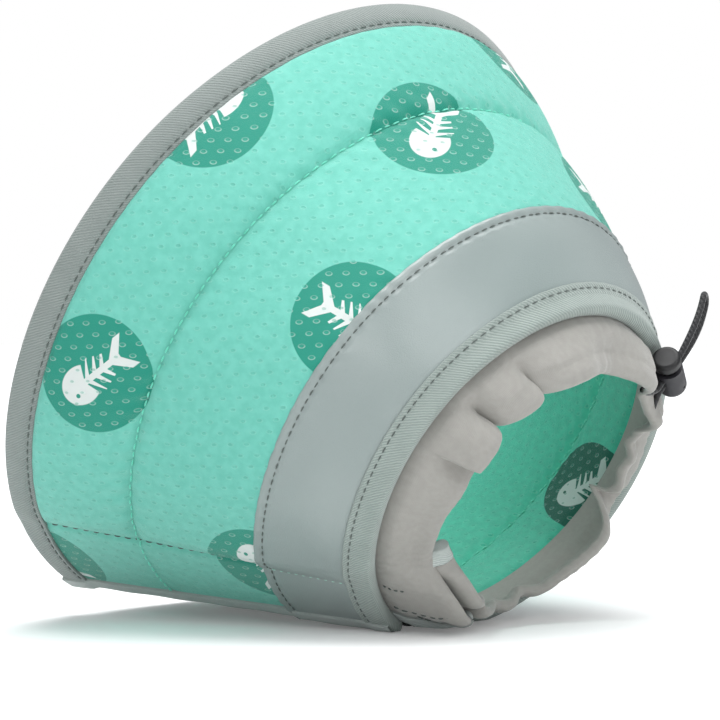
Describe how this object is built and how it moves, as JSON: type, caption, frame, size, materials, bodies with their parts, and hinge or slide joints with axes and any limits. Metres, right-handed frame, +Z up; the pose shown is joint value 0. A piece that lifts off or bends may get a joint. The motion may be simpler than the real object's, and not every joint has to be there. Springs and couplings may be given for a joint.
{
  "type": "elizabethan collar",
  "caption": "Soft quilted recovery cone for a cat or small dog, with a hook-and-loop lap, bound edges, a gathered neck cuff and a drawcord with a cord lock.",
  "frame": {"origin": "middle of the bounding box at floor level, the collar lying on its side", "axes": "+Z up, the neck end towards +X, the mouth towards -X, the near shell towards -Y"},
  "size_m": [0.169, 0.2274, 0.1875],
  "materials": {
    "foam": "matt open-cell foam",
    "printed_mesh": "satin knitted mesh",
    "band": "satin",
    "twill_tape": "matt twill",
    "hook_pile": "matt hooks",
    "loop_pile": "matt loops",
    "cuff_cloth": "satin plain weave",
    "cord": "braided, semi-matt",
    "lock_barrel": "satin",
    "lock_plunger": "gloss",
    "spring_steel": "drawn wire"
  },
  "bodies": {
    "rear_shell": {"rear_foam": "foam", "rear_outer_panel": "printed_mesh", "rear_lining": "printed_mesh", "rear_neck_band": "band", "rear_neck_binding": "twill_tape", "rear_mouth_binding": "twill_tape", "underlap": "printed_mesh", "underlap_edge_binding": "twill_tape", "loop_tape": "loop_pile", "rear_cuff": "cuff_cloth", "rear_drawcord_short": "cord", "rear_drawcord_long": "cord", "drawcord_loop": "cord"},
    "front_shell": {"front_foam": "foam", "front_outer_panel": "printed_mesh", "front_lining": "printed_mesh", "front_neck_band": "band", "front_neck_binding": "twill_tape", "front_mouth_binding": "twill_tape", "closure_flap": "printed_mesh", "flap_neck_band": "band", "closing_edge_binding": "twill_tape", "hook_tape": "hook_pile", "front_cuff": "cuff_cloth", "front_drawcord": "cord"},
    "cord_lock": {"cord_lock_barrel": "lock_barrel", "cord_lock_spring": "spring_steel"},
    "plunger": {"cord_lock_plunger": "lock_plunger"}
  },
  "joints": [
    {"name": "closure_open", "type": "hinge", "parent": "rear_shell", "child": "front_shell", "pos_m": [0.07954, 0.03079, 0.09098], "axis": [-0.6015, 0.1764, 0.7792], "range_deg": [0, 80]},
    {"name": "cord_lock_slide", "type": "slide", "parent": "rear_shell", "child": "cord_lock", "axis": [0.2078, 0.6329, 0.7458], "range_m": [0, 0.012], "deforming": ["drawcord_loop"]},
    {"name": "plunger_press", "type": "slide", "parent": "cord_lock", "child": "plunger", "axis": [-0.3063, 0.7662, -0.5649], "range_m": [0, 0.0022], "stiffness_N_per_m": 1500, "deforming": ["cord_lock_spring"]}
  ]
}
